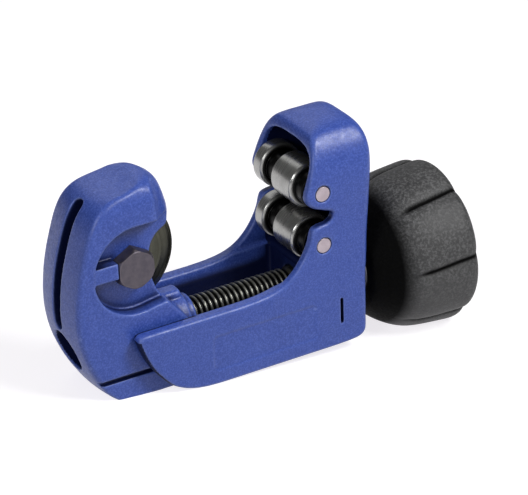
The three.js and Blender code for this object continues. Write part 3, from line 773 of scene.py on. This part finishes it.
def jaw_distance(x, y, z):
    ay = np.abs(y)
    # the -x nose and the upper +x tip are rounded across the width
    nose = ramp(x, -52, -60)
    tip = ramp(x, -49, -42) * ramp(z, 41.0, 46.0)
    bent_x = x - nose * (y * y) / 90.0 + tip * (y * y) / 22.0
    bottom = ramp(z, 9, 2)
    edge_r = (0.8 + 0.5 * nose * (1 - bottom) - 0.4 * bottom + 5.0 * tip).astype(F32)
    d = both(jaw_side(bent_x, z + 0 * bent_x), jaw_section(y, z), edge_r)
    # stepped collar round the spindle and the rib above it, on the +x face
    out = radius(y, z - SPINDLE_Z)
    collar = both(out - 7.0, span(x, -42.0, -34.4), 0.6)
    collar_step = both(out - 5.4, span(x, -42.0, -32.3), 0.5)
    rib = both(both(ay - 2.5, z - 22.5, 1.4), span(x, -45.0, -35.0), 0.9)
    d = either(d, collar, 0.5)
    d = either(d, both(rib, 9 - z, 0.3), 0.4)
    d = either(d, collar_step, 0.5)
    d = both(d, 0.85 - z, 0.4)
    # pockets for the bolt head and the nut, the -y one with a lug left standing
    pocket = both(pocket_side(x, z), POCKET_FLOOR_Y - ay, 0.6)
    lug = both(np.maximum(rect(x, z, -66, -55.5, 34.7, 39.0, 0.3), ay - 9.7), y, 0.1)
    d = without(d, without(pocket, lug, 0.35), 0.5)
    # wheel slot, wider in its rounding towards the nose
    wheel = radius(x - WHEEL_X, z - WHEEL_Z)
    mouth_r = (0.3 + 1.5 * ramp(x, -54, -58)).astype(F32)
    mouth = both(slot_side(x, z), ay - SLOT_HALF, mouth_r)
    round_slot = both(wheel - WHEEL_CLEARANCE_R, ay - SLOT_HALF, 0.3)
    d = without(d, np.minimum(round_slot, mouth), 0.4)
    # axle hole, spindle bore and its wide -x end
    d = without(d, wheel - AXLE_HOLE_R, 0.25)
    d = without(d, out - THREAD_BORE_R, 0.35)
    d = without(d, np.maximum(out - BORE_MOUTH_R, x + 58.0), 0.5)
    # grooves that take the frame's rails
    return without(d, rect(ay, z, 8.5, 14, 6.85, 8.05, 0.1), 0.16)


def jaw_painted_shade(places, normals):
    """Painted shade inside the bore and the wheel slot."""
    x, y, z = places.T
    side = jaw_side(x, z)
    bore = np.where((np.hypot(y, z - SPINDLE_Z) < 5.6) & (side < -0.7), 0.25, 1.0)
    below_skin = (side < -1.2) & (jaw_section(y, z) < -1.2)
    return bore * np.where((np.abs(y) < 1.95) & below_skin, 0.30, 1.0)


casting = carved("frame_casting", frame_distance, (-54.6, -14.6, -1.1), (18.2, 14.6, 61.9),
                 CAST_STEP, "frame_body", "frame", PAINT)
shade_casting(casting, frame_distance, frame_painted_shade)
casting = carved("jaw_casting", jaw_distance, (-69.8, -10.9, -0.2), (-31.0, 10.9, 61.0),
                 CAST_STEP * 0.9, "jaw_body", "jaw", PAINT)
shade_casting(casting, jaw_distance, jaw_painted_shade)

# ------------------------------------------------------------------ spindle
PITCH = 1.5
CREST_R, ROOT_R = 4.0, 3.12
THREAD_START, THREAD_END = -59.3, -3.4
THREAD_COLS = 72
ROWS_PER_PITCH = 12
# x, radius and corner radius, from the thread out to each closed end
JAW_END = [
    (-59.4, 3.12), (-59.45, 3.9), (-59.95, 3.9, 0.05), (-59.95, 3.1, 0.05),
    (-60.85, 3.1, 0.05), (-60.85, 3.9, 0.05), (-62.0, 3.9), (-62.6, 3.3), (-62.6, 0),
]
KNOB_END = [
    (-3.3, 3.15), (-2.8, 4.0), (4.3, 4.0, 0.1), (4.3, 2.9, 0.08), (5.4, 2.9, 0.08),
    (5.4, 4.0, 0.1), (16.0, 4.0, 0.1), (16.0, 2.78, 0.05), (26.4, 2.78, 0.2),
    (26.4, 1.75, 0.1), (16.8, 1.75, 0.1), (16.8, 0),
]


def thread():
    """True helix: a grid of x by angle whose radius follows the helix phase."""
    crest, root = 0.16, 0.20  # flat shares of the pitch
    n = int(round((THREAD_END - THREAD_START) / PITCH * ROWS_PER_PITCH))
    x, angle = np.meshgrid(np.linspace(THREAD_START, THREAD_END, n + 1),
                           circle(THREAD_COLS), indexing="ij")
    phase = (x / PITCH - angle / (2 * math.pi)) % 1.0
    t = np.clip((np.abs(phase - 0.5) * 2 - crest) / (1 - crest - root), 0, 1)
    t = t * t * (3 - 2 * t)
    r = CREST_R + (ROOT_R - CREST_R) * t
    # the thread runs out at both ends
    ends = np.clip(np.minimum(x - THREAD_START, THREAD_END - x) / (0.8 * PITCH), 0, 1)
    r = ROOT_R + (r - ROOT_R) * ends ** 0.5
    verts = np.stack([x, r * np.cos(angle), SPINDLE_Z + r * np.sin(angle)], -1)
    i = np.arange(n)[:, None] * THREAD_COLS
    j = np.arange(THREAD_COLS)[None, :]
    k = (j + 1) % THREAD_COLS
    quads = np.stack([i + j, i + k, i + THREAD_COLS + k, i + THREAD_COLS + j], -1)
    return verts.reshape(-1, 3).tolist(), quads.reshape(-1, 4)[:, ::-1].tolist()


def grow_end(verts, faces, start, profile, flip):
    """Carries the thread's ring that begins at vertex start along a profile to a closed end."""
    last = range(start, start + THREAD_COLS)
    for x, r in rounded_profile(profile, 0.12):
        closing = r < 1e-6
        if closing:
            ring = [len(verts)] * THREAD_COLS
            verts.append((x, 0, SPINDLE_Z))
        else:
            ring = range(len(verts), len(verts) + THREAD_COLS)
            verts.extend((x, r * math.cos(t), SPINDLE_Z + r * math.sin(t))
                         for t in circle(THREAD_COLS))
        for j in range(THREAD_COLS):
            k = (j + 1) % THREAD_COLS
            face = [last[j], last[k], ring[k]]
            if not closing:
                face.append(ring[j])
            faces.append(face if flip else face[::-1])
        last = ring


def spindle():
    verts, faces = thread()
    last_ring = len(verts) - THREAD_COLS
    grow_end(verts, faces, 0, JAW_END, flip=True)
    grow_end(verts, faces, last_ring, KNOB_END, flip=False)
    verts = np.array(verts)
    piece = new_piece("feed_spindle", verts, faces, "spindle_body", "spindle", THREAD_STEEL)
    # painted shade: low in the thread's roots, high on its crests
    depth = (np.hypot(verts[:, 1], verts[:, 2] - SPINDLE_Z) - ROOT_R) / (CREST_R - ROOT_R)
    on_thread = (verts[:, 0] > THREAD_START) & (verts[:, 0] < THREAD_END)
    put_shade(piece, np.where(on_thread, np.clip(depth, 0, 1), 0.55))


spindle()
split_ring("stop_ring", ring_profile(-60.8, -60.02, 3.25, 5.0), SPINDLE_LINE, 20, -90,
           "spindle_body", "spindle_stop_ring", BLACK_STEEL)
lathe("thrust_ring", ring_profile(13.9, 14.9, 4.25, 9.2), SPINDLE_LINE,
      "frame_body", "thrust_washer", ZINC)

# ------------------------------------------------------------------ knob
LOBES = 7
LOBE_COLS = 64
OUTSIDE_ROWS = 110
PLAIN_R = 9.5  # the knob is round within this radius
# x, radius along the outside, then on through the bores back to the start
KNOB_OUTSIDE = [
    (15.15, 9.3), (KNOB_START + 0.05, 11.2), (15.5, 12.3), (16.4, 13.2), (18.0, 14.7),
    (19.6, 16.15), (21.1, 17.3), (22.6, 18.3), (24.8, 19.5), (27.1, 20.35), (29.4, 20.8),
    (31.8, 21.1), (34.5, 21.35), (37.2, 21.6), (39.2, 21.75), (40.5, 21.65), (41.6, 21.1),
    (42.4, 20.0), (42.9, 18.6), (43.2, 16.5), (43.45, 13.5), (43.4, 11.0), (43.3, 8.6),
]
KNOB_BORES = [
    (40.85, 8.45), (40.85, 7.0), (32.55, 7.0), (32.55, 2.35), (27.15, 2.35), (27.15, 7.75),
    (17.35, 7.75), (17.35, 9.15), (15.15, 9.3),
]


def bell(angle, width):
    return np.exp(-(angle / width) ** 2)


def knob():
    # even spacing along the outside, so the lobes are well drawn
    outside = soften(KNOB_OUTSIDE, rounds=2, closed=False)
    lengths = np.linalg.norm(np.diff(outside, axis=0), axis=1)
    along = np.concatenate([[0], np.cumsum(lengths)])
    even = np.linspace(0, along[-1], OUTSIDE_ROWS)
    outside = np.stack([np.interp(even, along, outside[:, k]) for k in (0, 1)], 1)
    profile = [*outside, *rounded_profile([KNOB_OUTSIDE[-1], *KNOB_BORES], 0.2)[1:-1]]
    rows, cols = len(profile), LOBES * LOBE_COLS
    verts = np.zeros((rows, cols, 3))
    knob_shade = np.ones((rows, cols))
    # columns gather at the grooves
    u = np.linspace(0, 1, LOBE_COLS, endpoint=False)
    lobe = np.tile(u - 0.115 * np.sin(2 * math.pi * u), LOBES)
    from_groove = np.minimum(lobe, 1 - lobe)  # 0 at a groove, 0.5 in the middle of a lobe
    deg = from_groove * 360 / LOBES
    first_angle = 2 * math.pi * (np.repeat(np.arange(LOBES), LOBE_COLS) + lobe) / LOBES
    for i, (x, r) in enumerate(profile):
        out = np.full(cols, r)
        # the grooves lean round the knob with x
        lean = 5.0 * float(np.clip((x - 23.5) / 17.5, 0, 1.1))
        angle = first_angle + math.radians(180 - 4.0 - lean)
        if i < OUTSIDE_ROWS and r > PLAIN_R:
            fade = ramp(x, 22.0, 28.5)
            face = 0.85 * ramp(r, 21.3, 17.0) if x > 41.5 else 0.0
            end = (1.0 - face) * min(1.0, (r - PLAIN_R) / 4)
            # sharp groove in a shallow one, then the hollow between lobes
            sharp_depth = 0.55 - 0.40 * ramp(x, 36.0, 41.5)
            out = r - (sharp_depth * bell(deg, 1.9) + 0.30 * bell(deg, 5.5)) * fade * end
            hollow_depth = 0.25 + 0.45 * ramp(x, 24.0, 41.0)
            out -= hollow_depth * (1 - from_groove * 2) ** 2.0 * ramp(x, 17.5, 25.0) * end
            # painted shade: dark lines in the grooves, and a painted shadow of the roller hood over
            # the knob's end nearest the frame
            knob_shade[i] = (1 - bell(deg, 2.1) * fade * end) * ramp(x, 20.0, 26.5)
        verts[i, :, 0] = x
        verts[i, :, 1] = out * np.cos(angle)
        verts[i, :, 2] = SPINDLE_Z + out * np.sin(angle)
    i, j = np.arange(rows)[:, None], np.arange(cols)[None, :]
    row, next_row, next_j = i * cols, (i + 1) % rows * cols, (j + 1) % cols
    quads = np.stack([row + j, row + next_j, next_row + next_j, next_row + j], -1)
    faces = quads.reshape(-1, 4)[:, ::-1].copy()
    grip = new_piece("knob_grip", verts.reshape(-1, 3), faces, "spindle_body", "knob", GRIP)
    put_shade(grip, knob_shade.reshape(-1))


knob()
lathe("knob_cap", [
    (38.8, 0), (38.8, 6.5), (40.95, 6.7), (40.95, 8.25), (42.7, 8.25, 0.5), (43.25, 6.6, 1.0),
    (43.45, 3.6, 1.0), (43.5, 0),
], SPINDLE_LINE, "spindle_body", "knob_end_cap", PLASTIC, r=0.25)
lathe("hub_insert", [
    (15.15, 4.3), (15.15, 8.6, 0.3), (17.1, 8.9, 0.2), (17.1, 6.6), (26.8, 6.6), (26.8, 4.25),
    (16.2, 4.25), (16.2, 4.3, 0), (15.15, 4.3),
], SPINDLE_LINE, "spindle_body", "knob_hub", ZINC)
lathe("screw_washer", ring_profile(32.58, 33.38, 2.3, 5.8), SPINDLE_LINE,
      "spindle_body", "knob_washer", ZINC)

# ------------------------------------------------------------------ screw, bolt, nut and key
HEX_FLATS = 9.6
BOLT_HEAD_Y = -9.65
NUT_START_Y, NUT_END_Y = 7.2, 10.35


def screw_distance(x, y, z):
    """Domed cross-slot screw along the spindle, its head towards +x."""
    z = z - SPINDLE_Z
    out = radius(y, z)
    shank = both(out - 1.6, span(x, 18.0, 33.7), 0.3)
    head = both(out - 3.8, span(x, 33.45, 36.4), 0.5)
    head = both(head, radius(x - 29.7, out) - 6.7, 0.2)
    ay, az = np.abs(y), np.abs(z)
    cross = np.minimum(np.maximum(ay - 0.5, az - 2.3), np.maximum(az - 0.5, ay - 2.3))
    return without(either(shank, head, 0.15), np.maximum(cross, 34.8 - x), 0.12)


def bolt_distance(x, y, z):
    """Axle bolt with its head at -y and its thread at +y."""
    u, w = x - WHEEL_X, z - WHEEL_Z
    out = radius(u, w)
    head = both(hexagon(u, w, HEX_FLATS), span(y, BOLT_HEAD_Y, -6.0), 0.18)
    head = both(head, chamfer(out, 4.85, y - BOLT_HEAD_Y), 0.15)
    shank = both(out - 2.97, span(y, -6.4, 10.9), 0.4)
    ridge = 0.09 * np.cos(2 * math.pi * (y / 1.0 - np.arctan2(w, u) / (2 * math.pi)))
    shank = np.where(y > 5.2, np.maximum(shank, out - 2.86 - ridge), shank)
    return either(head, shank, 0.15)


def nut_distance(x, y, z):
    u, w = x - WHEEL_X, z - WHEEL_Z
    out = radius(u, w)
    d = both(hexagon(u, w, HEX_FLATS), span(y, NUT_START_Y, NUT_END_Y), 0.15)
    for depth in (NUT_END_Y - y, y - NUT_START_Y):
        d = both(d, chamfer(out, 4.7, depth), 0.12)
    return without(d, out - 3.12, 0.25)


def key_distance(x, y, z):
    """Flat plate across the spindle, taller towards -y."""
    plate = rect(y, z, -11.6, 9.1, 5.3, 10.9, 0.3)
    plate = np.minimum(plate, rect(y, z, -11.6, -3.2, 5.3, 13.4, 0.3))
    return both(plate, span(x, 4.5, 5.2), 0.1)


carved("end_screw", screw_distance,
       (17.5, -4.4, SPINDLE_Z - 4.4), (37.0, 4.4, SPINDLE_Z + 4.4),
       SMALL_STEP, "spindle_body", "knob_screw", ZINC)
carved("wheel_bolt", bolt_distance,
       (WHEEL_X - 6.4, -10.3, WHEEL_Z - 6.4), (WHEEL_X + 6.4, 11.5, WHEEL_Z + 6.4),
       SMALL_STEP, "jaw_body", "axle_bolt", BOLT_STEEL)
carved("wheel_nut", nut_distance,
       (WHEEL_X - 6.4, 6.6, WHEEL_Z - 6.4), (WHEEL_X + 6.4, 11.0, WHEEL_Z + 6.4),
       SMALL_STEP, "jaw_body", "axle_nut", BOLT_STEEL)
carved("spindle_key", key_distance, (4.1, -12.2, 4.7), (5.6, 9.7, 14.0),
       KEY_STEP, "frame_body", "retaining_key", ZINC)

# ------------------------------------------------------------------ rollers and pins
# y, radius and corner radius: a roller with two grooves, one at the -y end
ROLLER_PROFILE = [
    (-10.95, 2.2), (-10.95, 4.3, 0.15), (-10.7, 4.6, 0.1), (-7.5, 4.6, 0.15),
    (-7.45, 5.5, 0.1), (-6.95, 6.0, 0.2), (1.45, 6.0, 0.2), (1.9, 5.5, 0.15),
    (1.95, 4.3, 0.25), (6.55, 4.3, 0.25), (6.6, 5.5, 0.15), (7.05, 6.0, 0.2),
    (10.2, 6.0, 0.25), (10.95, 5.2, 0.15), (10.95, 2.2), (-10.95, 2.2),
]
DOWEL_PROFILE = [(-PIN_HALF, 0), (-PIN_HALF, 2.0, 0.18), (PIN_HALF, 2.0, 0.18), (PIN_HALF, 0)]


def roller_and_pin(name, pin_z):
    line = ("y", (PIN_X, 0, pin_z))
    metal = turned_steel(f"{name}_roller_steel", base=(0.36, 0.36, 0.35),
                         light=(0.48, 0.48, 0.46), roughness=0.27, line=line, rings=1.0,
                         dark_low=True)
    roller = lathe(f"{name}_grooved_roller", ROLLER_PROFILE, line, f"{name}_roller_body",
                   f"{name}_roller", ("black_steel", metal), r=0.2, steps=4)
    places = read_vectors(roller.data.vertices, "co") / MM
    out = np.hypot(places[:, 0] - PIN_X, places[:, 2] - pin_z)
    # painted shade: the grooves and the neck go near black
    put_shade(roller, np.clip((out - 4.7) / 1.2, 0, 1))
    lathe(f"{name}_dowel", DOWEL_PROFILE, line, "frame_body", f"{name}_roller_pin",
          PIN_STEEL, steps=4)


for name, pin_z in ROLLER_Z.items():
    roller_and_pin(name, pin_z)

# ------------------------------------------------------------------ cutting wheel and axle parts
WHEEL_STEEL = ("wheel_steel", turned_steel(
    "wheel_tool_steel", base=(0.050, 0.050, 0.038), light=(0.15, 0.15, 0.12),
    roughness=0.30, line=WHEEL_LINE, rings=1.4))
# y, radius and corner radius of the -y half
WHEEL_HALF = [
    (-1.5, 3.75), (-1.5, 6.6, 0.1), (-1.32, 6.9, 0.1), (-1.32, 10.9, 0.3), (-0.80, 13.1, 0.3),
    (-0.06, WHEEL_R, 0.02),
]
other_half = [(-y, *rest) for y, *rest in WHEEL_HALF[::-1]]
lathe("cutting_wheel", [*WHEEL_HALF, *other_half, WHEEL_HALF[0]], WHEEL_LINE,
      "wheel_body", "cutter_wheel", WHEEL_STEEL, r=0.1, segments=TURN_SEGMENTS + 48)
lathe("wheel_sleeve", ring_profile(-1.75, 1.75, 3.12, 3.5), WHEEL_LINE,
      "jaw_body", "wheel_bush", BRONZE, r=0.08)
for side, start, end in (("near", -1.79, -1.57), ("far", 1.57, 1.79)):
    lathe(f"shim_{side}", ring_profile(start, end, 3.65, 6.5), WHEEL_LINE,
          "jaw_body", f"wheel_shim_{side}", ZINC, r=0.05)
split_ring("lock_washer", ring_profile(6.12, 6.95, 3.2, 5.3), WHEEL_LINE, 14, 90,
           "jaw_body", "axle_spring_washer", ZINC, twist=0.28)

# ------------------------------------------------------------------ floor (metres from here on)
scene = bpy.context.scene
FLOOR_HALF = 3.0
# the tool rests on the knob and on the free end of the frame, so the floor falls towards +x
FLOOR_SLOPE = math.atan2(6.05, 77.0)


def floor_material():
    """Pale floor for the light; a bright sheet, only faintly shadowed, for camera and gloss."""
    s = Shader("pale_floor")
    cloud = s.noise(per_mm=0.02)
    s.feed("Base Color", s.tint((0.22, 0.22, 0.23), (0.25, 0.25, 0.26), cloud, (0.3, 0.7)))
    s.feed("Roughness", 0.9)
    s.feed("Specular IOR Level", 0.1)
    glow = s.add("Emission")
    s.put(glow.inputs["Color"], (0.985, 0.96, 1.0))
    s.put(glow.inputs["Strength"], 0.80)
    sheet = s.add("BsdfDiffuse")
    s.put(sheet.inputs["Color"], (0.42, 0.43, 0.41))
    bright = s.add("AddShader")
    s.put(bright.inputs[0], glow.outputs[0])
    s.put(bright.inputs[1], sheet.outputs[0])
    path = s.add("LightPath").outputs
    seen = s.math("MAXIMUM", path["Is Camera Ray"], path["Is Glossy Ray"])
    top = mix_shader(s.tree, seen, s.principled.outputs[0], bright.outputs[0])
    # clear from below
    clear = s.add("BsdfTransparent").outputs[0]
    underneath = s.add("NewGeometry").outputs["Backfacing"]
    s.put(s.output.inputs["Surface"], mix_shader(s.tree, underneath, top, clear))
    return s.material


def floor():
    me = bpy.data.meshes.new("floor")
    corners = [(x * FLOOR_HALF, y * FLOOR_HALF, 0) for x, y in ((-1, -1), (1, -1), (1, 1), (-1, 1))]
    me.from_pydata(corners, [], [(0, 1, 2, 3)])
    sheet = bpy.data.objects.new("floor", me)
    scene.collection.objects.link(sheet)
    sheet.rotation_euler = (0, FLOOR_SLOPE, 0)
    sheet.location = (-33 * MM, 0, -0.02 * MM)
    me.materials.append(floor_material())


floor()


# ------------------------------------------------------------------ world and lights
def studio():
    """Dim white light all round, but a bright white background to the camera."""
    world = bpy.data.worlds.new("studio")
    scene.world = world
    world.use_nodes = True
    tree = world.node_tree
    dim = tree.nodes["Background"]
    bright = tree.nodes.new("ShaderNodeBackground")
    for node, strength in ((dim, 0.13), (bright, 1.05)):
        node.inputs["Color"].default_value = (1.0, 1.0, 1.0, 1)
        node.inputs["Strength"].default_value = strength
    camera_ray = tree.nodes.new("ShaderNodeLightPath").outputs["Is Camera Ray"]
    mixed = mix_shader(tree, camera_ray, dim.outputs[0], bright.outputs[0])
    tree.links.new(mixed, tree.nodes["World Output"].inputs["Surface"])


def disk_light(name, at, size, power, aim=(-0.01, 0, 0.03)):
    light = bpy.data.lights.new(name, "AREA")
    light.shape = "DISK"
    light.size = size
    light.energy = power
    lamp = bpy.data.objects.new(name, light)
    scene.collection.objects.link(lamp)
    lamp.location = at
    lamp.rotation_euler = (Vector(aim) - Vector(at)).to_track_quat("-Z", "Y").to_euler()


studio()
disk_light("key", at=(0.30, -0.44, 0.62), size=0.30, power=4.6)
disk_light("left", at=(-0.66, -0.42, 0.46), size=0.3, power=2.1, aim=(-0.03, 0, 0.03))
disk_light("front", at=(0.20, -0.85, 0.40), size=0.5, power=0.4)
disk_light("back", at=(0.15, 0.60, 0.50), size=0.6, power=0.8)

# ------------------------------------------------------------------ camera
AZIMUTH, ELEVATION, ROLL = [math.radians(a) for a in (28.155, 28.262, -2.826)]
TARGET = np.array([-0.030, 0, 0.022])
DISTANCE = 0.700
# the axis passes this far right of and above the target, per unit of distance
AIM_RIGHT, AIM_UP = 0.024899286, 0.012503571
LENS, SENSOR = 190.90909, 36  # in mm


def camera():
    level = math.cos(ELEVATION)
    view = np.array([math.sin(AZIMUTH) * level, math.cos(AZIMUTH) * level, -math.sin(ELEVATION)])
    right = np.array([math.cos(AZIMUTH), -math.sin(AZIMUTH), 0.0])
    up = np.cross(right, view)
    c, s = math.cos(ROLL), math.sin(ROLL)
    right, up = c * right + s * up, -s * right + c * up
    place = TARGET - DISTANCE * view
    axis = view + AIM_RIGHT * right + AIM_UP * up
    axis /= np.linalg.norm(axis)
    right = right - (right @ axis) * axis
    right /= np.linalg.norm(right)
    up = np.cross(right, axis)
    data = bpy.data.cameras.new("camera")
    data.sensor_width = SENSOR
    data.lens = LENS
    data.clip_start, data.clip_end = 0.01, 20
    eye = bpy.data.objects.new("camera", data)
    scene.collection.objects.link(eye)
    columns = np.column_stack([right, up, -axis, place])
    eye.matrix_world = Matrix([*columns.tolist(), (0, 0, 0, 1)])
    scene.camera = eye


camera()
scene.view_settings.view_transform = "Standard"
scene.view_settings.look = "None"
scene.view_settings.exposure = 0.0
